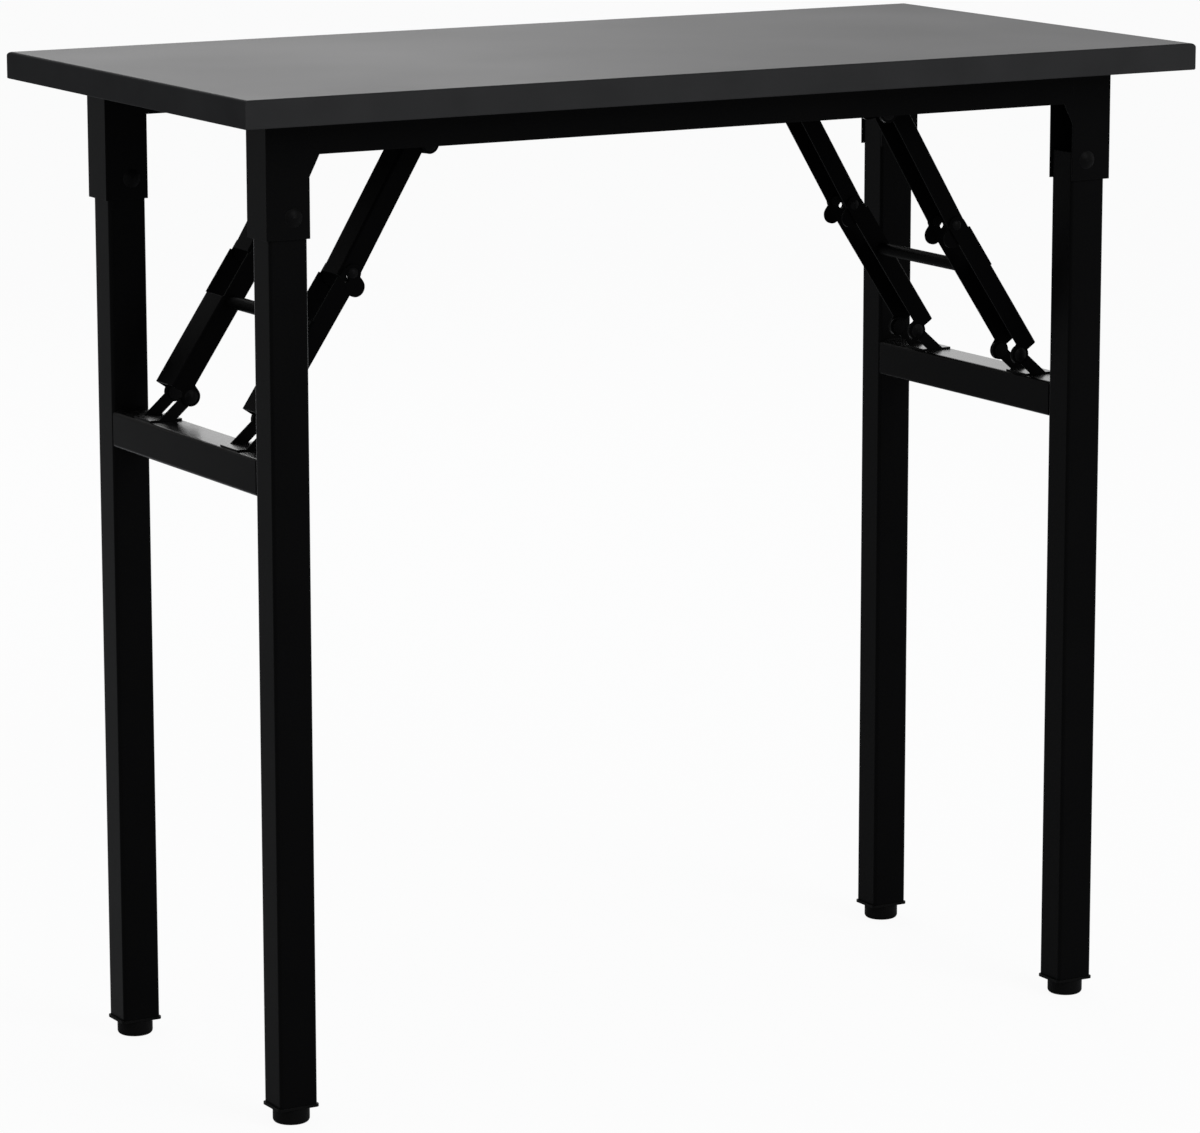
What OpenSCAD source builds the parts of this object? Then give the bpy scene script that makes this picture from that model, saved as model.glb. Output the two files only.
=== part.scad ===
// Folding desk: a laminated board on two hinged leg frames.
// Each frame swings up under the board and is held open by two folding braces.
// Origin: centre of the footprint, on the floor. +X along the desk, -Y is its front, +Z up.

/* [Table top] */
// Length of the desk top
top_l = 800; // [720:10:1000]
// Depth of the desk top, front to back
top_w = 400; // [360:10:500]
// Thickness of the desk top
top_t = 20; // [16:1:26]
// Height of the working surface above the floor
table_h = 750; // [700:5:790]
// Thickness of the edge band glued round the board
band_t = 3; // [1:0.5:4]
// Radius of the band's upper edge
band_top_r = 3; // [1:0.5:4]
// Radius of the band's lower edge
band_low_r = 1; // [0.5:0.25:2]

/* [Leg frames] */
// Leg tube size along the desk
leg_x = 30; // [26:1:34]
// Leg tube size across the desk
leg_y = 27; // [24:1:30]
// Wall of the leg and crossbar tubes
tube_wall = 1.2; // [1:0.1:1.8]
// Outside corner radius of the tubes
tube_r = 2.5; // [2:0.25:3.5]
// Distance from the board's end to the leg's outer face
leg_end_inset = 44; // [40:1:60]
// Distance from the board's long edge to the leg's outer face
leg_side_inset = 54; // [46:1:70]
// Distance from the board's underside to the top of the leg
leg_drop = 64; // [60:1:70]
// Distance from the board's underside to the leg's pivot
pivot_drop = 70; // [68:1:76]
// Offset of the leg's pivot from the tube's middle, towards the desk's middle
pivot_offset = 3; // [2:0.5:4]
// Height of the crossbar's section
crossbar_h = 27; // [22:1:30]
// Distance from the board's underside to the top of the crossbar
crossbar_drop = 244; // [240:1:248]

/* [Leg brackets] */
// Sheet thickness of the leg brackets
bracket_t = 1.5; // [1.2:0.1:2]
// Clearance between a bracket's cheek and the leg
bracket_gap = 0.3; // [0.2:0.05:0.6]
// Clearance between a bracket's end wall and the leg
bracket_end_gap = 1.5; // [1.5:0.25:3]
// Length of a bracket's cheeks along the desk
bracket_l = 34; // [32:1:44]
// Height of a bracket
bracket_h = 85.5; // [82:0.5:92]
// Length of the corner gusset along the rail
gusset_l = 8; // [5:1:14]
// Height of the corner gusset below the rail
gusset_h = 15.5; // [10:0.5:22]
// Radius of the leg's pivot rivet
leg_rivet_r = 4; // [3:0.25:4.5]
// Radius of the leg's pivot rivet head
leg_rivet_head_r = 7; // [6:0.5:8]
// Height of the leg's pivot rivet head
leg_rivet_head_h = 2.4; // [1.5:0.1:3]

/* [Rails] */
// Sheet thickness of the rails
rail_t = 1.2; // [1:0.1:1.5]
// Height of a rail
rail_h = 26.5; // [22:0.5:32]
// Width of a rail's flange under the board
rail_flange = 26; // [20:1:34]
// Distance between the rail's screws
rail_screw_pitch = 260; // [150:10:290]

/* [Braces] */
// Distance from the desk's centre line to the middle of a brace
brace_y = 72.2; // [60:0.2:86]
// Outside width of the lower link
link_w = 31; // [28:0.5:36]
// Depth of a link, from its open edge to its closed side
link_depth = 15.6; // [14:0.1:17]
// Sheet thickness of the links and of their brackets
link_t = 1.5; // [1.2:0.1:1.8]
// Outside bend radius of a link
link_bend_r = 2.6; // [2:0.1:3]
// Side clearance between two nested pieces of a brace
link_gap = 0.3; // [0.2:0.05:0.4]
// Radius of the round lugs of the links and of their brackets' ears
lug_r = 7.4; // [7:0.1:8]
// Length of the taper from a link's open edge to a round lug
lug_taper = 8.7; // [8.5:0.1:12]
// Distance of the end pivots outside the links' open edges
pivot_out = 1.7; // [1:0.1:2.5]
// Slope of the lower link
lower_a = 56.1; // [55:0.1:57]
// Slope of the upper link
upper_a = 59; // [58:0.1:60]
// Distance from the crossbar's middle to the lower pivot, along the desk
lower_pivot_in = 19.9; // [18:0.1:22]
// Height of the lower pivot above the crossbar
lower_pivot_up = 17.2; // [16:0.1:19]
// Slope of a lower bracket's ears
ear_lean = 41; // [40:0.5:43]
// Length of a lower bracket's base along the desk
base_l = 26; // [24:0.5:26]
// Distance from the board's underside to the upper pivot
upper_pivot_drop = 32.2; // [30:0.1:34]
// Distance of the middle pivot from the lower pivot, along the lower link
mid_along = 121.2; // [120.5:0.1:122]
// Distance of the seam and the middle lug from the lower pivot, along the lower link
seam_along = 114; // [112:0.5:115]
// Width of the seam between the links
seam_gap = 2; // [1.5:0.25:3]
// Distance of the hole beside the seam from the lower pivot, along the lower link
hole_along = 114.9; // [114:0.1:115]
// Distance of the hole beside the seam from the line through the lower link's lugs
hole_off = 10.6; // [9.5:0.1:11]
// Radius of the hole beside the seam
hole_r = 2.4; // [2:0.1:2.5]
// Length of a link beyond its end pivot
end_past = 0.6; // [0:0.1:1.5]
// Length of the lower link's closed side above the lower pivot
web_reach = 76; // [60:1:77]
// Radius of the brace rivets
rivet_r = 3; // [2.5:0.25:3.5]
// Radius of the brace rivet heads
rivet_head_r = 5.5; // [5:0.25:6.5]
// Height of the brace rivet heads
rivet_head_h = 1.6; // [1:0.1:2.2]
// Height of the brace rivets' inner heads
inner_head_h = 1.2; // [0.8:0.1:1.6]
// Radius of the middle rivets
mid_rivet_r = 2.5; // [2:0.1:3]
// Radius of the middle rivet heads
mid_head_r = 4; // [3.5:0.1:4.2]
// Gap under the inner head of a rivet that a cheek turns on
head_gap = 0.1; // [0.05:0.01:0.2]
// Running clearance of a rivet in its hole
rivet_gap = 0.05; // [0.02:0.01:0.08]
// Width of a lower bracket's leaning ears below their round ends
ear_neck_w = 9.2; // [8:0.2:12]
// Width of an upper bracket's cheeks where they meet the board
ear_top_w = 30; // [24:1:36]
// Length of an upper bracket's screw tabs
ear_tab = 13; // [11:0.5:16]

/* [Tie rod] */
// Diameter of the rod between the two lower links
tie_d = 10; // [8:0.5:12]
// Distance of the rod from the lower pivot, along the link
tie_along = 76; // [60:0.5:90]
// Distance of the rod from the line through the lower link's lugs
tie_off = 9.6; // [8:0.1:10]

/* [Feet] */
// Diameter of a foot's pad
pad_d = 27; // [24:0.5:27]
// Height of a foot's pad
pad_h = 11.7; // [8:0.1:14]
// Radius of the pad's lower edge
pad_r = 3; // [1:0.5:4]
// Gap between the pad and its insert with the foot screwed in
pad_gap = 0.3; // [0.2:0.1:1]
// Thickness of the insert's flange
insert_flange_t = 2; // [1.5:0.25:3]
// Overhang of the insert's flange past the tube, along the desk
insert_lip_x = 1.5; // [0.5:0.25:2]
// Overhang of the insert's flange past the tube, across the desk
insert_lip_y = 0.4; // [0.1:0.1:0.4]
// Length of the insert inside the tube
insert_l = 22; // [16:1:30]
// Clearance between the insert and the tube's wall
insert_gap = 0.15; // [0.1:0.05:0.3]
// Diameter of the foot's screw
stem_d = 8; // [6:0.5:10]
// Length of the foot's screw above the pad
stem_l = 32; // [26:1:44]
// Running clearance of the foot's screw
stem_gap = 0.06; // [0.02:0.01:0.1]

/* [Screws] */
// Radius of the board screws
screw_r = 2; // [1.5:0.25:2.5]
// Length of the board screws below their heads
screw_l = 14; // [10:0.5:15]
// Radius of the screw heads
screw_head_r = 4; // [3.25:0.25:4.5]
// Height of the screw heads
screw_head_h = 2.2; // [1.5:0.1:3]
// Clearance of a screw in its hole
screw_gap = 0.05; // [0.02:0.01:0.1]
// Distance from a leg bracket's screw to the inside of the bracket's cheek
screw_side = 6; // [5:0.25:7]

/* [Hidden] */
$fn = 64;

// Small overlap for cuts
e = 0.5;
// Sides of the board
half_l = top_l / 2;
half_w = top_w / 2;
board_under = table_h - top_t;
// Leg tube
leg_out_x = half_l - leg_end_inset;
leg_mid_x = leg_out_x - leg_x / 2;
leg_in_x = leg_out_x - leg_x;
leg_out_y = half_w - leg_side_inset;
leg_mid_y = leg_out_y - leg_y / 2;
leg_in_y = leg_out_y - leg_y;
leg_top = board_under - leg_drop;
leg_bottom = pad_h + pad_gap + insert_flange_t;
// Pivots as [x, z]
leg_pivot = [leg_mid_x - pivot_offset, board_under - pivot_drop];
crossbar_top = board_under - crossbar_drop;
low_pivot = [leg_mid_x - lower_pivot_in, crossbar_top + lower_pivot_up];
// Place on the lower link: along it from its pivot, and off the line of its lugs
function on_lower(along, off) =
  low_pivot + along * [-cos(lower_a), sin(lower_a)] + off * [sin(lower_a), cos(lower_a)];
mid_off = pivot_out + (link_depth - link_bend_r) / 2;
mid_pivot = on_lower(mid_along, mid_off);
up_pivot_z = board_under - upper_pivot_drop;
upper_l = (up_pivot_z - mid_pivot[1] + mid_off * cos(upper_a)) / sin(upper_a);
up_pivot = [mid_pivot[0] - upper_l * cos(upper_a) - mid_off * sin(upper_a), up_pivot_z];
// Place [x, z] as the upper link has it: along it from its pivot, and off the line of its lugs
function in_upper(p) =
  [(p - up_pivot) * [cos(upper_a), -sin(upper_a)], (p - up_pivot) * [sin(upper_a), cos(upper_a)]];
// Leg bracket
bracket_in_y = leg_in_y - bracket_gap - bracket_t;
bracket_out_y = leg_out_y + bracket_gap + bracket_t;
bracket_out_x = leg_out_x + bracket_end_gap + bracket_t;
bracket_in_x = bracket_out_x - bracket_l;
bracket_low = board_under - bracket_h;
// Widths across a brace
upper_w = link_w - 2 * (link_t + link_gap);
brace_in_y = brace_y - link_w / 2;

// One piece of the +X +Y corner, mirrored to the named corner
module corner(sx, sy) {
  mirror([sx < 0 ? 1 : 0, 0, 0])
    mirror([0, sy < 0 ? 1 : 0, 0])
      children();
}

// Four corners of one body
module corners() {
  for (sx = [-1, 1])
    for (sy = [-1, 1])
      corner(sx, sy)
        children();
}

// Plate between two distances from the centre line, drawn in the XZ plane
module plate_y(y0, y1) {
  translate([0, y1, 0])
    rotate([90, 0, 0])
      linear_extrude(y1 - y0)
        children();
}

// Round bar across the desk between two distances from the centre line
module bar_y(p, r, y0, y1) {
  translate([p[0], y1, p[1]])
    rotate([90, 0, 0])
      cylinder(r = r, h = y1 - y0);
}

// Rectangle with rounded corners, centred
module round_rect(w, h, r) {
  square([w - 2 * r, h], center = true);
  square([w, h - 2 * r], center = true);
  for (x = [-1, 1])
    for (y = [-1, 1])
      translate([x * (w / 2 - r), y * (h / 2 - r)])
        circle(r, $fn = 32);
}

// Section of a rectangular tube
module tube_section(w, h) {
  difference() {
    round_rect(w, h, tube_r);
    round_rect(w - 2 * tube_wall, h - 2 * tube_wall, tube_r - tube_wall);
  }
}

// Domed head on the XY plane, rising along +Z
module dome(r, h) {
  ball_r = (r * r + h * h) / (2 * h);
  rotate_extrude($fn = 48)
    intersection() {
      translate([0, h - ball_r])
        circle(ball_r, $fn = 128);
      square([r, h]);
    }
}

// Rivet along Y with domed heads outside y0 and y1
module rivet_y(p, r, head_r, head_h, y0, y1) {
  bar_y(p, r, y0, y1);
  translate([p[0], y1, p[1]])
    rotate([-90, 0, 0])
      dome(head_r, head_h);
  translate([p[0], y0, p[1]])
    rotate([90, 0, 0])
      dome(head_r, head_h);
}

// Places where a screw goes up into the board, as [x, y, z of the head's seat]
bracket_screws = [
  [leg_mid_x, leg_in_y - bracket_gap + screw_side, board_under - bracket_t],
  [leg_mid_x, leg_out_y + bracket_gap - screw_side, board_under - bracket_t]
];
upper_screws = [
  [up_pivot[0], brace_in_y - ear_tab / 2, board_under - link_t],
  [up_pivot[0], brace_in_y + link_w + ear_tab / 2, board_under - link_t]
];
rail_mid_y = bracket_out_y - rail_flange / 2;
rail_screws = [for (i = [-1:1]) [i * rail_screw_pitch, rail_mid_y, board_under - rail_t]];

// Hole for one board screw
module screw_hole(p) {
  translate(p - [0, 0, e])
    cylinder(r = screw_r + screw_gap, h = screw_l + 2 * e);
}

// One board screw with its head below the seat
module screw(p) {
  translate(p)
    cylinder(r = screw_r, h = screw_l);
  translate(p)
    mirror([0, 0, 1])
      dome(screw_head_r, screw_head_h);
}

// Board without its edge band
module table_board() {
  color([0.20, 0.18, 0.17])
    difference() {
      translate([-half_l + band_t, -half_w + band_t, board_under])
        cube([top_l - 2 * band_t, top_w - 2 * band_t, top_t]);
      corners()
        for (p = concat(bracket_screws, upper_screws))
          screw_hole(p);
      for (sy = [-1, 1])
        corner(1, sy)
          for (p = rail_screws)
            screw_hole(p);
    }
}

// Section of the band: outer side at x = band_t
module band_section() {
  top_r = min(band_top_r, band_t);
  low_r = min(band_low_r, band_t);
  difference() {
    square([band_t, top_t]);
    difference() {
      translate([band_t - top_r, top_t - top_r])
        square(top_r + e);
      translate([band_t - top_r, top_t - top_r])
        circle(top_r);
    }
    difference() {
      translate([band_t - low_r, -e])
        square(low_r + e);
      translate([band_t - low_r, low_r])
        circle(low_r);
    }
  }
}

// One side of the band along Y, mitred at both ends
module band_side(out_x, out_y) {
  in_x = out_x - band_t;
  in_y = out_y - band_t;
  intersection() {
    translate([in_x, out_y, board_under])
      rotate([90, 0, 0])
        linear_extrude(2 * out_y)
          band_section();
    translate([0, 0, board_under - e])
      linear_extrude(top_t + 2 * e)
        polygon([[in_x, -in_y], [out_x, -out_y], [out_x, out_y], [in_x, in_y]]);
  }
}

module edge_band() {
  color([0.10, 0.09, 0.09])
    for (a = [0, 180]) {
      rotate(a)
        band_side(half_l, half_w);
      rotate(a + 90)
        band_side(half_w, half_l);
    }
}

// Angle rail between the leg brackets, on the +Y side
module rail(sy) {
  color([0.07, 0.07, 0.08])
    corner(1, sy)
      difference() {
        union() {
          translate([-bracket_in_x, bracket_out_y - rail_t, board_under - rail_h])
            cube([2 * bracket_in_x, rail_t, rail_h]);
          translate([-bracket_in_x, bracket_out_y - rail_flange, board_under - rail_t])
            cube([2 * bracket_in_x, rail_flange, rail_t]);
        }
        for (p = rail_screws)
          screw_hole(p);
      }
}

// Channel that carries a leg, with its top plate and corner gusset
module leg_bracket(sx, sy) {
  w = bracket_out_y - bracket_in_y;
  color([0.07, 0.07, 0.08])
    corner(sx, sy)
      difference() {
        union() {
          translate([bracket_in_x, bracket_in_y, bracket_low])
            cube([bracket_l, bracket_t, bracket_h]);
          translate([bracket_in_x, bracket_out_y - bracket_t, bracket_low])
            cube([bracket_l, bracket_t, bracket_h]);
          translate([bracket_out_x - bracket_t, bracket_in_y, bracket_low])
            cube([bracket_t, w, bracket_h]);
          translate([bracket_in_x, bracket_in_y, board_under - bracket_t])
            cube([bracket_l, w, bracket_t]);
          plate_y(bracket_out_y - bracket_t, bracket_out_y)
            translate([bracket_in_x, board_under - rail_h])
              polygon([[0, 0], [-gusset_l, 0], [0, -gusset_h]]);
        }
        bar_y(leg_pivot, leg_rivet_r + rivet_gap, bracket_in_y - e, bracket_out_y + e);
        for (p = bracket_screws)
          screw_hole(p);
      }
}

// Bracket under the board that carries an upper link
module upper_bracket(sx, sy) {
  tab_w = link_w + 2 * ear_tab;
  color([0.07, 0.07, 0.08])
    corner(sx, sy)
      difference() {
        union() {
          for (y = [brace_in_y, brace_in_y + link_w - link_t])
            plate_y(y, y + link_t)
              upper_ear();
          translate([up_pivot[0] - ear_top_w / 2, brace_y - tab_w / 2, board_under - link_t])
            cube([ear_top_w, tab_w, link_t]);
        }
        bar_y(up_pivot, rivet_r + rivet_gap, brace_in_y - e, brace_in_y + link_w + e);
        for (p = upper_screws)
          screw_hole(p);
      }
}

module upper_ear() {
  translate(up_pivot)
    circle(lug_r);
  translate(up_pivot)
    polygon([
      [-lug_r, 0], [lug_r, 0],
      [ear_top_w / 2, upper_pivot_drop - link_t / 2],
      [-ear_top_w / 2, upper_pivot_drop - link_t / 2]
    ]);
}

// Ear of a lower bracket, leaning from the crossbar to its round end, which is a little wider
module lower_ear() {
  half_w = ear_neck_w / 2;
  side = half_w * [sin(ear_lean), cos(ear_lean)];
  rise = lower_pivot_up - link_t / 2;
  foot = rise / tan(ear_lean);
  foot_half = half_w / sin(ear_lean);
  translate(low_pivot) {
    circle(lug_r);
    polygon([-side, side, [foot + foot_half, -rise], [foot - foot_half, -rise]]);
  }
}

// Bracket on the crossbar that carries a lower link: two ears on a base
module lower_bracket(sx, sy) {
  color([0.07, 0.07, 0.08])
    corner(sx, sy)
      difference() {
        union() {
          for (y = [brace_y - upper_w / 2, brace_y + upper_w / 2 - link_t])
            plate_y(y, y + link_t)
              lower_ear();
          translate([leg_mid_x - base_l / 2, brace_y - upper_w / 2, crossbar_top])
            cube([base_l, upper_w, link_t]);
        }
        bar_y(low_pivot, rivet_r + rivet_gap, brace_in_y - e, brace_in_y + link_w + e);
      }
}

// Leg tube, standing on its insert
module leg(sx, sy) {
  color([0.08, 0.08, 0.09])
    corner(sx, sy)
      difference() {
        translate([leg_mid_x, leg_mid_y, leg_bottom])
          linear_extrude(leg_top - leg_bottom)
            tube_section(leg_x, leg_y);
        bar_y(leg_pivot, leg_rivet_r + rivet_gap, leg_in_y - e, leg_out_y + e);
      }
}

// Crossbar between the two legs of one frame
module crossbar(sx) {
  color([0.08, 0.08, 0.09])
    corner(sx, 1)
      translate([leg_mid_x, leg_in_y, crossbar_top - crossbar_h / 2])
        rotate([90, 0, 0])
          linear_extrude(2 * leg_in_y)
            tube_section(leg_x, crossbar_h);
}

// Plastic insert in the leg's lower end
module foot_insert(sx, sy) {
  in_w = leg_x - 2 * (tube_wall + insert_gap);
  in_d = leg_y - 2 * (tube_wall + insert_gap);
  in_r = tube_r - tube_wall;
  color([0.05, 0.05, 0.05])
    corner(sx, sy)
      translate([leg_mid_x, leg_mid_y, pad_h + pad_gap])
        difference() {
          union() {
            linear_extrude(insert_flange_t)
              round_rect(leg_x + 2 * insert_lip_x, leg_y + 2 * insert_lip_y, tube_r + insert_lip_y);
            linear_extrude(insert_flange_t + insert_l)
              round_rect(in_w, in_d, in_r);
          }
          translate([0, 0, -e])
            cylinder(d = stem_d + 2 * stem_gap, h = insert_flange_t + insert_l + 2 * e);
        }
}

// Foot: pad with a screw
module foot(sx, sy) {
  color([0.06, 0.06, 0.06])
    corner(sx, sy)
      translate([leg_mid_x, leg_mid_y, 0]) {
        rotate_extrude()
          difference() {
            square([pad_d / 2, pad_h]);
            translate([pad_d / 2 - pad_r, 0])
              difference() {
                translate([0, -e])
                  square([pad_r + e, pad_r + e]);
                translate([0, pad_r])
                  circle(pad_r);
              }
          }
        cylinder(d = stem_d, h = pad_h + stem_l);
      }
}

// Bend between a cheek and the closed side, and half of the closed side
module bend_section(w) {
  web_out = pivot_out + link_depth;
  translate([w / 2 - link_bend_r, web_out - link_bend_r])
    intersection() {
      difference() {
        circle(link_bend_r);
        circle(link_bend_r - link_t);
      }
      square(link_bend_r);
    }
  translate([0, web_out - link_t])
    square([w / 2 - link_bend_r, link_t]);
}

// Round lug at the origin, with a taper to the open edge along +X
module lug() {
  edge = [lug_taper, pivot_out];
  a = atan2(pivot_out, lug_taper) - acos(lug_r / norm(edge));
  circle(lug_r);
  polygon([[0, 0], lug_r * [cos(a), sin(a)], edge, edge + [0, e], [0, pivot_out + e]]);
}

// Cheek of a link: its end pivot at the origin, its middle along +X.
// It is as deep as the link up to the seam, then runs on to a round end.
// An outer cheek also closes the side of the seam, all but a notch at the web.
module cheek_outline(web_l, seam, round_at) {
  flat = link_depth - link_bend_r;
  lug();
  translate([-end_past, pivot_out])
    square([round_at + end_past, flat]);
  translate([round_at, mid_off])
    circle(flat / 2);
  if (seam > web_l) {
    translate([web_l, pivot_out])
      square([seam - web_l, link_depth]);
    translate([web_l, pivot_out])
      square([round_at - web_l, link_depth - link_t]);
  }
}

// Pressed channel link, its end pivot at the origin and its middle along +X
module channel_link(w, web_l, seam, round_at) {
  for (y = [-w / 2, w / 2 - link_t])
    plate_y(y, y + link_t)
      cheek_outline(web_l, seam, round_at);
  translate([-end_past, 0, 0])
    rotate([90, 0, 90])
      linear_extrude(web_l + end_past)
        for (m = [0, 1])
          mirror([m, 0])
            bend_section(w);
}

// Frame of a link: origin at a pivot, +X down the link
module link_frame(p, a) {
  translate([p[0], brace_y, p[1]])
    rotate([0, a, 0])
      children();
}

// Holes of a link, placed in its own frame. The hole beside the seam is in one cheek only:
// the outer one where turn is 1, the inner one where it is -1.
module link_holes(mid, beside, turn) {
  bar_y([0, 0], rivet_r + rivet_gap, -link_w, link_w);
  bar_y(mid, mid_rivet_r + rivet_gap, -link_w, link_w);
  bar_y(beside, hole_r, min(0, turn * link_w), max(0, turn * link_w));
}

module lower_link(sx, sy) {
  color([0.06, 0.06, 0.07])
    corner(sx, sy)
      link_frame(low_pivot, lower_a)
        mirror([1, 0, 0])
          difference() {
            channel_link(link_w, web_reach, seam_along - seam_gap / 2, mid_along);
            link_holes([mid_along, mid_off], [hole_along, hole_off], sx * sy);
          }
}

// Upper link, which also has the round lug at the middle of the brace
module upper_link(sx, sy) {
  seam = in_upper(on_lower(seam_along + seam_gap / 2, mid_off))[0];
  beside = in_upper(on_lower(hole_along, hole_off));
  color([0.06, 0.06, 0.07])
    corner(sx, sy)
      link_frame(up_pivot, upper_a)
        difference() {
          union() {
            channel_link(upper_w, seam, seam, beside[0]);
            for (y = [-upper_w / 2, upper_w / 2 - link_t])
              plate_y(y, y + link_t)
                translate(in_upper(on_lower(seam_along, 0)))
                  mirror([1, 0])
                    lug();
          }
          link_holes([upper_l, mid_off], beside, sx * sy);
        }
}

// Rod between the two lower links of one end
module tie_rod(sx) {
  color([0.07, 0.07, 0.08])
    corner(sx, 1)
      bar_y(on_lower(tie_along, tie_off), tie_d / 2, -brace_in_y, brace_in_y);
}

// Rivets that join leg and leg bracket
module leg_pivot_rivets() {
  color([0.12, 0.12, 0.13])
    corners()
      rivet_y(leg_pivot, leg_rivet_r, leg_rivet_head_r, leg_rivet_head_h, bracket_in_y, bracket_out_y);
}

// Two short rivets through the nested cheeks of a brace, one on each side
module cheek_rivets(p) {
  grip = 2 * link_t + link_gap;
  translate([p[0], brace_y, p[1]])
    for (a = [-90, 90])
      rotate([a, 0, 0])
        translate([0, 0, link_w / 2]) {
          dome(rivet_head_r, rivet_head_h);
          mirror([0, 0, 1]) {
            cylinder(r = rivet_r, h = grip + head_gap + inner_head_h);
            translate([0, 0, grip + head_gap])
              cylinder(r = rivet_head_r, h = inner_head_h);
          }
        }
}

// Rivets that join upper link and upper bracket
module upper_pivot_rivets() {
  color([0.12, 0.12, 0.13])
    corners()
      cheek_rivets(up_pivot);
}

// Rivets that join lower link and lower bracket
module lower_pivot_rivets(sx) {
  color([0.12, 0.12, 0.13])
    for (sy = [-1, 1])
      corner(sx, sy)
        cheek_rivets(low_pivot);
}

// Outer halves of the middle rivets, fixed in the lower links
module mid_rivets_outer(sx) {
  color([0.12, 0.12, 0.13])
    for (sy = [-1, 1])
      corner(sx, sy)
        translate([mid_pivot[0], brace_y, mid_pivot[1]])
          for (a = [-90, 90])
            rotate([a, 0, 0])
              translate([0, 0, link_w / 2]) {
                dome(mid_head_r, rivet_head_h);
                mirror([0, 0, 1])
                  cylinder(r = mid_rivet_r, h = link_t);
              }
}

// Inner halves of the middle rivets, fixed in the upper links
module mid_rivets(sx, sy) {
  color([0.12, 0.12, 0.13])
    corner(sx, sy)
      translate([mid_pivot[0], brace_y, mid_pivot[1]])
        for (a = [-90, 90])
          rotate([a, 0, 0])
            translate([0, 0, upper_w / 2])
              mirror([0, 0, 1]) {
                cylinder(r = mid_rivet_r, h = link_t);
                translate([0, 0, link_t])
                  cylinder(r = mid_head_r, h = inner_head_h);
              }
}

module board_screws() {
  color([0.14, 0.14, 0.15]) {
    corners()
      for (p = concat(bracket_screws, upper_screws))
        screw(p);
    for (sy = [-1, 1])
      corner(1, sy)
        for (p = rail_screws)
          screw(p);
  }
}

table_board();
edge_band();
rail(-1);  // front_rail
rail(1);  // rear_rail
leg_bracket(-1, -1);  // leg_bracket_front_left
leg_bracket(-1, 1);  // leg_bracket_rear_left
leg_bracket(1, -1);  // leg_bracket_front_right
leg_bracket(1, 1);  // leg_bracket_rear_right
upper_bracket(-1, -1);  // upper_bracket_front_left
upper_bracket(-1, 1);  // upper_bracket_rear_left
upper_bracket(1, -1);  // upper_bracket_front_right
upper_bracket(1, 1);  // upper_bracket_rear_right
board_screws();
leg_pivot_rivets();
upper_pivot_rivets();
leg(-1, -1);  // leg_front_left
leg(-1, 1);  // leg_rear_left
leg(1, -1);  // leg_front_right
leg(1, 1);  // leg_rear_right
crossbar(-1);  // crossbar_left
crossbar(1);  // crossbar_right
lower_bracket(-1, -1);  // lower_bracket_front_left
lower_bracket(-1, 1);  // lower_bracket_rear_left
lower_bracket(1, -1);  // lower_bracket_front_right
lower_bracket(1, 1);  // lower_bracket_rear_right
foot_insert(-1, -1);  // foot_insert_front_left
foot_insert(-1, 1);  // foot_insert_rear_left
foot_insert(1, -1);  // foot_insert_front_right
foot_insert(1, 1);  // foot_insert_rear_right
lower_link(-1, -1);  // lower_link_front_left
lower_link(-1, 1);  // lower_link_rear_left
lower_link(1, -1);  // lower_link_front_right
lower_link(1, 1);  // lower_link_rear_right
tie_rod(-1);  // tie_rod_left
tie_rod(1);  // tie_rod_right
lower_pivot_rivets(-1);  // lower_pivot_rivets_left
lower_pivot_rivets(1);  // lower_pivot_rivets_right
mid_rivets_outer(-1);  // mid_rivets_outer_left
mid_rivets_outer(1);  // mid_rivets_outer_right
upper_link(-1, -1);  // upper_link_front_left
upper_link(-1, 1);  // upper_link_rear_left
upper_link(1, -1);  // upper_link_front_right
upper_link(1, 1);  // upper_link_rear_right
mid_rivets(-1, -1);  // mid_rivets_front_left
mid_rivets(-1, 1);  // mid_rivets_rear_left
mid_rivets(1, -1);  // mid_rivets_front_right
mid_rivets(1, 1);  // mid_rivets_rear_right
foot(-1, -1);  // foot_front_left
foot(-1, 1);  // foot_rear_left
foot(1, -1);  // foot_front_right
foot(1, 1);  // foot_rear_right
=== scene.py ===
import math

import bmesh
import bpy
from mathutils import Matrix, Vector


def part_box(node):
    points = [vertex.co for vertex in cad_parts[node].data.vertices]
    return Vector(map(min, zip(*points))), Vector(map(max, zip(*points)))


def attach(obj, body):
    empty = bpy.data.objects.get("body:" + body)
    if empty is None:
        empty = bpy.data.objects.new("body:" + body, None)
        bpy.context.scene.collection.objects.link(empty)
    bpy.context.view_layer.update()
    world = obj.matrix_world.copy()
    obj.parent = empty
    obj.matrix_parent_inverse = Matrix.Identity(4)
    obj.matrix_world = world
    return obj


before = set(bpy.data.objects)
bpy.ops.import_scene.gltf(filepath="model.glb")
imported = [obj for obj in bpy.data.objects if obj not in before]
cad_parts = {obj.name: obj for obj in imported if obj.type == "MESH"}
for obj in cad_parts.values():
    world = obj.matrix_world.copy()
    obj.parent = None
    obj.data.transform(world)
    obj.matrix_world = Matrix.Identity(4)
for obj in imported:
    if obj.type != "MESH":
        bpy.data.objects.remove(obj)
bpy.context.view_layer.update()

# Camera of the photograph: in front of the desk, to its left and a little above the top.
# A long lens keeps the uprights almost parallel.
photo_eye = Vector((-1.99376, -3.43132, 1.13578))
photo_azimuth = math.radians(30.095)
photo_pitch = math.radians(11.159)
photo_roll = math.radians(-0.06)
FILM_WIDTH_MM = 36
LENS_MM = 158.61
FARTHEST_SEEN = 100

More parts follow.
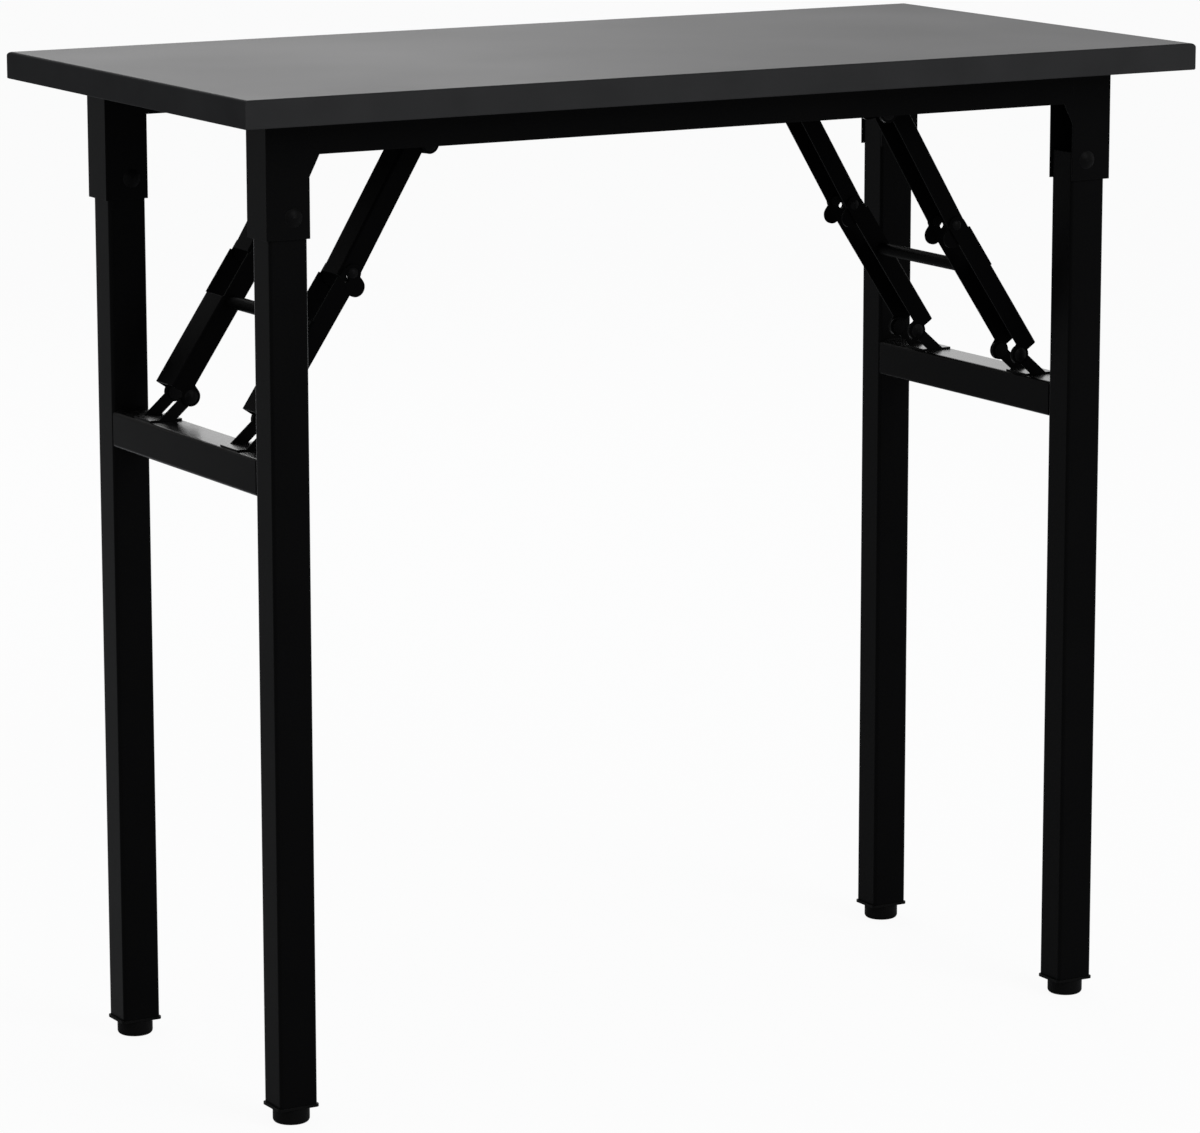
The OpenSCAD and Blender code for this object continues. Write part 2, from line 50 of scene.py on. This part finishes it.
lens_data = bpy.data.cameras.new("photo_lens")
lens_data.sensor_width = FILM_WIDTH_MM
lens_data.lens = LENS_MM
lens_data.clip_end = FARTHEST_SEEN
photo_camera = bpy.data.objects.new("photo_camera", lens_data)
bpy.context.scene.collection.objects.link(photo_camera)
look = Vector((
    math.sin(photo_azimuth) * math.cos(photo_pitch),
    math.cos(photo_azimuth) * math.cos(photo_pitch),
    -math.sin(photo_pitch),
))
aim = look.to_track_quat("-Z", "Y").to_matrix().to_4x4()
roll = Matrix.Rotation(photo_roll, 4, "Z")
photo_camera.matrix_world = Matrix.Translation(photo_eye) @ aim @ roll
bpy.context.scene.camera = photo_camera
bpy.context.scene.view_settings.view_transform = "Standard"

# Studio: a white room that the camera, gloss and glass see at full white.
# Diffuse light from it is weaker, so the lamps shape the desk.
ROOM_FILL = 0.55
ROOM_TINT = (0.95, 0.97, 1.0, 1)
WHITE = (1, 1, 1, 1)

room = bpy.data.worlds.new("white_room")
bpy.context.scene.world = room
room.use_nodes = True
room_nodes, room_links = room.node_tree.nodes, room.node_tree.links
room_nodes.clear()
room_path = room_nodes.new("ShaderNodeLightPath")
seen_or_gloss = room_nodes.new("ShaderNodeMath")
seen_or_gloss.operation = "MAXIMUM"
seen_or_glass = room_nodes.new("ShaderNodeMath")
seen_or_glass.operation = "MAXIMUM"
room_links.new(room_path.outputs["Is Camera Ray"], seen_or_gloss.inputs[0])
room_links.new(room_path.outputs["Is Glossy Ray"], seen_or_gloss.inputs[1])
room_links.new(seen_or_gloss.outputs[0], seen_or_glass.inputs[0])
room_links.new(room_path.outputs["Is Transmission Ray"], seen_or_glass.inputs[1])
room_fill = room_nodes.new("ShaderNodeBackground")
room_fill.inputs["Color"].default_value = ROOM_TINT
room_fill.inputs["Strength"].default_value = ROOM_FILL
room_white = room_nodes.new("ShaderNodeBackground")
room_white.inputs["Color"].default_value = WHITE
room_white.inputs["Strength"].default_value = 1.0
room_mix = room_nodes.new("ShaderNodeMixShader")
room_out = room_nodes.new("ShaderNodeOutputWorld")
room_links.new(seen_or_glass.outputs[0], room_mix.inputs["Fac"])
room_links.new(room_fill.outputs[0], room_mix.inputs[1])
room_links.new(room_white.outputs[0], room_mix.inputs[2])
room_links.new(room_mix.outputs[0], room_out.inputs["Surface"])

desk_middle = Vector((0, 0, 0.45))


def soft_lamp(name, where, size, watts):
    """A square soft box that faces the middle of the desk."""
    data = bpy.data.lights.new(name, "AREA")
    data.shape = "SQUARE"
    data.size = size
    data.energy = watts
    lamp = bpy.data.objects.new(name, data)
    bpy.context.scene.collection.objects.link(lamp)
    lamp.location = where
    lamp.rotation_mode = "QUATERNION"
    lamp.rotation_quaternion = (desk_middle - lamp.location).to_track_quat("-Z", "Y")


soft_lamp("key_lamp", where=Vector((0.9, -3.0, 2.2)), size=1.8, watts=46)
soft_lamp("left_lamp", where=Vector((-3.0, -0.6, 1.6)), size=1.6, watts=2)
soft_lamp("back_lamp", where=Vector((0.6, 2.6, 2.4)), size=2.0, watts=18)

# Floor: one large pale sheet under the feet.
# It is nearly white to the camera and keeps a soft shadow of the desk.
FLOOR_REACH = 14
FLOOR_PAINT = (0.9, 0.9, 0.9, 1)
WHITE_SHARE = 0.93

floor_mesh = bpy.data.meshes.new("floor")
floor_corners = [
    (x * FLOOR_REACH, y * FLOOR_REACH, 0) for x, y in ((-1, -1), (1, -1), (1, 1), (-1, 1))
]
floor_mesh.from_pydata(floor_corners, [], [(0, 1, 2, 3)])
floor = bpy.data.objects.new("floor", floor_mesh)
bpy.context.scene.collection.objects.link(floor)
floor_paint = bpy.data.materials.new("pale_floor")
floor_paint.use_nodes = True
floor_nodes, floor_links = floor_paint.node_tree.nodes, floor_paint.node_tree.links
floor_nodes.clear()
floor_path = floor_nodes.new("ShaderNodeLightPath")
floor_glow = floor_nodes.new("ShaderNodeEmission")
floor_glow.inputs["Color"].default_value = WHITE
floor_glow.inputs["Strength"].default_value = 1.0
floor_matt = floor_nodes.new("ShaderNodeBsdfDiffuse")
floor_matt.inputs["Color"].default_value = FLOOR_PAINT
floor_share = floor_nodes.new("ShaderNodeMath")
floor_share.operation = "MULTIPLY"
floor_share.inputs[1].default_value = WHITE_SHARE
floor_mix = floor_nodes.new("ShaderNodeMixShader")
floor_out = floor_nodes.new("ShaderNodeOutputMaterial")
floor_links.new(floor_path.outputs["Is Camera Ray"], floor_share.inputs[0])
floor_links.new(floor_share.outputs[0], floor_mix.inputs["Fac"])
floor_links.new(floor_matt.outputs[0], floor_mix.inputs[1])
floor_links.new(floor_glow.outputs[0], floor_mix.inputs[2])
floor_links.new(floor_mix.outputs[0], floor_out.inputs["Surface"])
floor.data.materials.append(floor_paint)

# Desk top: particle board faced with dark grey-black laminate, screwed to the steel below it.
# The face is matt with a very fine grain and a faint sheen at low angles.


def value_group(name, inputs, outputs):
    """An empty node group with named number inputs and outputs."""
    group = bpy.data.node_groups.new(name, "ShaderNodeTree")
    for label, start in inputs:
        socket = group.interface.new_socket(label, in_out="INPUT", socket_type="NodeSocketFloat")
        socket.default_value = start
    for label in outputs:
        group.interface.new_socket(label, in_out="OUTPUT", socket_type="NodeSocketFloat")
    return group, group.nodes.new("NodeGroupInput"), group.nodes.new("NodeGroupOutput")


def math_node(nodes, links, operation, first, second):
    """A math node on two values, each a socket or a number."""
    node = nodes.new("ShaderNodeMath")
    node.operation = operation
    for slot, value in zip(node.inputs, (first, second)):
        if isinstance(value, (int, float)):
            slot.default_value = value
        else:
            links.new(value, slot)
    return node.outputs[0]


def noise_on(nodes, links, place, scale, detail, roughness=0.5):
    """A noise texture at a place; scale is a socket with its repeats per metre."""
    noise = nodes.new("ShaderNodeTexNoise")
    noise.inputs["Detail"].default_value = detail
    noise.inputs["Roughness"].default_value = roughness
    links.new(place, noise.inputs["Vector"])
    links.new(scale, noise.inputs["Scale"])
    return noise.outputs["Fac"]


# Fine grain: a close pitted noise and a wide uneven one.
# Sizes are repeats per metre.
fine_grain, grain_in, grain_out = value_group(
    "fine_grain", (("Pits per metre", 900.0), ("Clouds per metre", 12.0)), ("Pits", "Clouds")
)
grain_place = fine_grain.nodes.new("ShaderNodeTexCoord").outputs["Object"]
fine_grain.links.new(
    noise_on(
        fine_grain.nodes, fine_grain.links, grain_place, grain_in.outputs["Pits per metre"],
        detail=3.0, roughness=0.6,
    ),
    grain_out.inputs["Pits"],
)
fine_grain.links.new(
    noise_on(
        fine_grain.nodes, fine_grain.links, grain_place, grain_in.outputs["Clouds per metre"],
        detail=2.0,
    ),
    grain_out.inputs["Clouds"],
)

# Edge wear: how far a rounded normal turns from the true one, broken up by noise.
# It is highest along sharp edges and 0 on a flat face.
WEAR_WIDTH = 0.0012
WEAR_GAIN = 5.0
CHIPS_BELOW = 0.35
EDGE_SAMPLES = 4

edge_wear, wear_in, wear_out = value_group(
    "edge_wear", (("Chips per metre", 160.0), ("Amount", 0.5)), ("Worn",)
)
wear_nodes, wear_links = edge_wear.nodes, edge_wear.links
wear_round = wear_nodes.new("ShaderNodeBevel")
wear_round.samples = EDGE_SAMPLES
wear_round.inputs["Radius"].default_value = WEAR_WIDTH
wear_flat = wear_nodes.new("ShaderNodeNewGeometry")
wear_turn = wear_nodes.new("ShaderNodeVectorMath")
wear_turn.operation = "DOT_PRODUCT"
wear_links.new(wear_round.outputs["Normal"], wear_turn.inputs[0])
wear_links.new(wear_flat.outputs["Normal"], wear_turn.inputs[1])
wear_edge = math_node(wear_nodes, wear_links, "SUBTRACT", 1.0, wear_turn.outputs["Value"])
wear_edge = math_node(wear_nodes, wear_links, "MULTIPLY", wear_edge, WEAR_GAIN)
wear_chips = noise_on(
    wear_nodes, wear_links, wear_nodes.new("ShaderNodeTexCoord").outputs["Object"],
    wear_in.outputs["Chips per metre"], detail=4.0, roughness=0.7,
)
wear_chips = math_node(wear_nodes, wear_links, "SUBTRACT", wear_chips, CHIPS_BELOW)
wear_some = math_node(wear_nodes, wear_links, "MULTIPLY", wear_edge, wear_chips)
wear_some = math_node(wear_nodes, wear_links, "MULTIPLY", wear_some, wear_in.outputs["Amount"])
wear_limit = wear_nodes.new("ShaderNodeClamp")
wear_links.new(wear_some, wear_limit.inputs["Value"])
wear_links.new(wear_limit.outputs["Result"], wear_out.inputs["Worn"])

# Dark finish: how far the clouds swing tone and gloss, and the sheen that rises at low angles.
TONE_SWING = 0.2
GLOSS_SWING = 0.06
SHEEN_ROUGHNESS = 0.22
SHEEN_BLEND = 0.5
SHEEN_FROM, SHEEN_FULL = 0.55, 0.85
GRAIN_STRENGTH = 0.6


def dark_finish(
    name, colour, worn_colour, roughness, gloss, low_shine, grain, clouds, bump, wear, round_by
):
    """A dark surface: grain in the bump, clouds in tone and gloss, paler worn edges.

    low_shine is the share of clear coat that shows at the lowest angles, and none shows face on.
    grain and clouds are repeats per metre; bump and round_by are metres.
    """
    paint = bpy.data.materials.new(name)
    paint.use_nodes = True
    nodes, links = paint.node_tree.nodes, paint.node_tree.links
    skin = nodes["Principled BSDF"]
    skin.inputs["Specular IOR Level"].default_value = gloss
    skin.inputs["Coat Roughness"].default_value = SHEEN_ROUGHNESS
    slant = nodes.new("ShaderNodeLayerWeight")
    slant.inputs["Blend"].default_value = SHEEN_BLEND
    shine = nodes.new("ShaderNodeMapRange")
    shine.interpolation_type = "SMOOTHSTEP"
    shine.inputs["From Min"].default_value = SHEEN_FROM
    shine.inputs["From Max"].default_value = SHEEN_FULL
    shine.inputs["To Max"].default_value = low_shine
    links.new(slant.outputs["Facing"], shine.inputs["Value"])
    links.new(shine.outputs["Result"], skin.inputs["Coat Weight"])
    speck = nodes.new("ShaderNodeGroup")
    speck.node_tree = fine_grain
    speck.inputs["Pits per metre"].default_value = grain
    speck.inputs["Clouds per metre"].default_value = clouds
    worn = nodes.new("ShaderNodeGroup")
    worn.node_tree = edge_wear
    worn.inputs["Amount"].default_value = wear
    tone = nodes.new("ShaderNodeMix")
    tone.data_type = "RGBA"
    tone.inputs["A"].default_value = [c * (1 - TONE_SWING) for c in colour] + [1]
    tone.inputs["B"].default_value = [c * (1 + TONE_SWING) for c in colour] + [1]
    links.new(speck.outputs["Clouds"], tone.inputs["Factor"])
    edge = nodes.new("ShaderNodeMix")
    edge.data_type = "RGBA"
    edge.inputs["B"].default_value = list(worn_colour) + [1]
    links.new(worn.outputs["Worn"], edge.inputs["Factor"])
    links.new(tone.outputs["Result"], edge.inputs["A"])
    links.new(edge.outputs["Result"], skin.inputs["Base Color"])
    dull = nodes.new("ShaderNodeMapRange")
    dull.inputs["To Min"].default_value = roughness - GLOSS_SWING
    dull.inputs["To Max"].default_value = roughness + GLOSS_SWING
    links.new(speck.outputs["Clouds"], dull.inputs["Value"])
    links.new(dull.outputs["Result"], skin.inputs["Roughness"])
    soft_edge = nodes.new("ShaderNodeBevel")
    soft_edge.samples = EDGE_SAMPLES
    soft_edge.inputs["Radius"].default_value = round_by
    relief = nodes.new("ShaderNodeBump")
    relief.inputs["Distance"].default_value = bump
    relief.inputs["Strength"].default_value = GRAIN_STRENGTH
    links.new(speck.outputs["Pits"], relief.inputs["Height"])
    links.new(soft_edge.outputs["Normal"], relief.inputs["Normal"])
    links.new(relief.outputs["Normal"], skin.inputs["Normal"])
    return paint


def finish_with(paint, *node_names):
    """Gives CAD nodes this finish."""
    for node_name in node_names:
        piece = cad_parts[node_name]
        piece.data.materials.clear()
        piece.data.materials.append(paint)


laminate = dark_finish(
    "dark_laminate",
    colour=(0.026, 0.026, 0.027), worn_colour=(0.04, 0.04, 0.04),
    roughness=0.42, gloss=0.1, low_shine=0.02,
    grain=1400.0, clouds=5.0, bump=0.00003, wear=0.0, round_by=0.0002,
)
finish_with(laminate, "table_board")

# Edge band: a thick strip of dark plastic glued round the board, rounded over at the top.
# It is matt and plainer than the face, with a fine grain.
band_plastic = dark_finish(
    "edge_band_plastic",
    colour=(0.025, 0.025, 0.0255), worn_colour=(0.038, 0.038, 0.038),
    roughness=0.5, gloss=0.0, low_shine=0.1,
    grain=1100.0, clouds=20.0, bump=0.00002, wear=0.3, round_by=0.0004,
)
finish_with(band_plastic, "edge_band")

# Steel under the top: rails, leg brackets and brace brackets of bent sheet, screwed to the board.
# All have a black powder coat, slightly pebbled, with rounded edges.
CORNERS = [end + "_" + side for side in ("left", "right") for end in ("front", "rear")]
powder_coat = dark_finish(
    "black_powder_coat",
    colour=(0.0018, 0.0018, 0.0019), worn_colour=(0.009, 0.009, 0.009),
    roughness=0.4, gloss=0.02, low_shine=1.0,
    grain=520.0, clouds=16.0, bump=0.00005, wear=0.5, round_by=0.0007,
)
finish_with(powder_coat, "front_rail", "rear_rail")
finish_with(powder_coat, *["leg_bracket_" + c for c in CORNERS])
finish_with(powder_coat, *["upper_bracket_" + c for c in CORNERS])

# Leg frames: rectangular steel tubes with a crossbar welded between them.
# The lower brace brackets stand on the crossbar, and all have the same black coat.
finish_with(powder_coat, *["leg_" + c for c in CORNERS])
finish_with(powder_coat, "crossbar_left", "crossbar_right")
finish_with(powder_coat, *["lower_bracket_" + c for c in CORNERS])

# Welds: small rippled beads where each crossbar meets its legs, painted over with the frame.
# They run across the crossbar's top and underside, against the flat inner side of the leg.
WELD_LEG = 0.0018
WELD_SUNK = 0.0002
WELD_FROM_EDGE = 0.003
WELD_RIPPLES = 11
RIPPLE_DEPTH = 0.14
RINGS_PER_RIPPLE = 6
ARC_POINTS = 7
CORNER_FULLNESS = 0.2
END_FADE = 6
SMALLEST_END = 0.2


def weld_bead(name, start, end, out_a, out_b, body):
    """A fillet bead from start to end in the corner between two faces.

    out_a and out_b point along the two faces, away from the corner.
    """
    mesh = bmesh.new()
    rings = []
    steps = WELD_RIPPLES * RINGS_PER_RIPPLE
    for step in range(steps + 1):
        along = step / steps
        middle = start.lerp(end, along)
        fade = min(1.0, END_FADE * along, END_FADE * (1 - along)) ** 0.5
        swell = (1 - RIPPLE_DEPTH) + RIPPLE_DEPTH * abs(math.sin(math.pi * WELD_RIPPLES * along))
        reach = WELD_LEG * max(SMALLEST_END, fade) * swell
        ring = [mesh.verts.new(middle - WELD_SUNK * (out_a + out_b))]
        for part in range(ARC_POINTS):
            turn = math.radians(90 / (ARC_POINTS - 1) * part)
            bulge = reach * ((1 - CORNER_FULLNESS) + CORNER_FULLNESS * abs(math.cos(2 * turn)))
            outward = math.cos(turn) * out_a + math.sin(turn) * out_b
            ring.append(mesh.verts.new(middle + bulge * outward))
        rings.append(ring)
    for ring, following in zip(rings, rings[1:]):
        for k in range(len(ring)):
            after = (k + 1) % len(ring)
            mesh.faces.new((ring[k], ring[after], following[after], following[k]))
    mesh.faces.new(rings[0])
    mesh.faces.new(rings[-1])
    bmesh.ops.recalc_face_normals(mesh, faces=mesh.faces)
    for face in mesh.faces:
        face.smooth = len(face.verts) == 4
    data = bpy.data.meshes.new(name)
    mesh.to_mesh(data)
    mesh.free()
    bead = bpy.data.objects.new(name, data)
    bpy.context.scene.collection.objects.link(bead)
    data.materials.append(powder_coat)
    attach(bead, body)


for side in ("left", "right"):
    bar_low, bar_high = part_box("crossbar_" + side)
    left_x, right_x = bar_low[0] + WELD_FROM_EDGE, bar_high[0] - WELD_FROM_EDGE
    for end, leg_y, inward in (("front", bar_low[1], 1), ("rear", bar_high[1], -1)):
        for face, z, out_z in (("top", bar_high[2], 1), ("under", bar_low[2], -1)):
            weld_bead(
                "_".join(("weld", face, end, side)),
                Vector((left_x, leg_y, z)), Vector((right_x, leg_y, z)),
                Vector((0, inward, 0)), Vector((0, 0, out_z)), side + "_frame",
            )

# Braces: pressed channel links, nested at the middle, with a rod between the lower pair.
# Their coat is thinner and a little duller.
brace_coat = dark_finish(
    "brace_coat",
    colour=(0.0012, 0.0012, 0.0013), worn_colour=(0.007, 0.007, 0.007),
    roughness=0.5, gloss=0.01, low_shine=0.1,
    grain=600.0, clouds=22.0, bump=0.00005, wear=0.7, round_by=0.0006,
)
finish_with(brace_coat, *["lower_link_" + c for c in CORNERS])
finish_with(brace_coat, *["upper_link_" + c for c in CORNERS])
finish_with(brace_coat, "tie_rod_left", "tie_rod_right")

# Rivets and screws: blackened steel, a little smoother than the coat round them.
# The rivets' low domes are nearly as dark as the steel they hold.
blackened_steel = dark_finish(
    "blackened_steel",
    colour=(0.0022, 0.0022, 0.0023), worn_colour=(0.012, 0.012, 0.0125),
    roughness=0.4, gloss=0.03, low_shine=0.25,
    grain=900.0, clouds=60.0, bump=0.00003, wear=0.6, round_by=0.0003,
)
finish_with(
    blackened_steel,
    "board_screws", "leg_pivot_rivets", "upper_pivot_rivets",
    "lower_pivot_rivets_left", "lower_pivot_rivets_right",
    "mid_rivets_outer_left", "mid_rivets_outer_right",
)
finish_with(blackened_steel, *["mid_rivets_" + c for c in CORNERS])

# Feet: moulded nylon inserts pressed into the tubes, and round pads that screw into them.
# Both are matt black from the mould, with a little wear at their edges.
foot_nylon = dark_finish(
    "foot_nylon",
    colour=(0.0020, 0.0020, 0.0020), worn_colour=(0.01, 0.01, 0.01),
    roughness=0.58, gloss=0.04, low_shine=0.1,
    grain=700.0, clouds=50.0, bump=0.00005, wear=0.6, round_by=0.0004,
)
finish_with(foot_nylon, *["foot_insert_" + c for c in CORNERS])
finish_with(foot_nylon, *["foot_" + c for c in CORNERS])
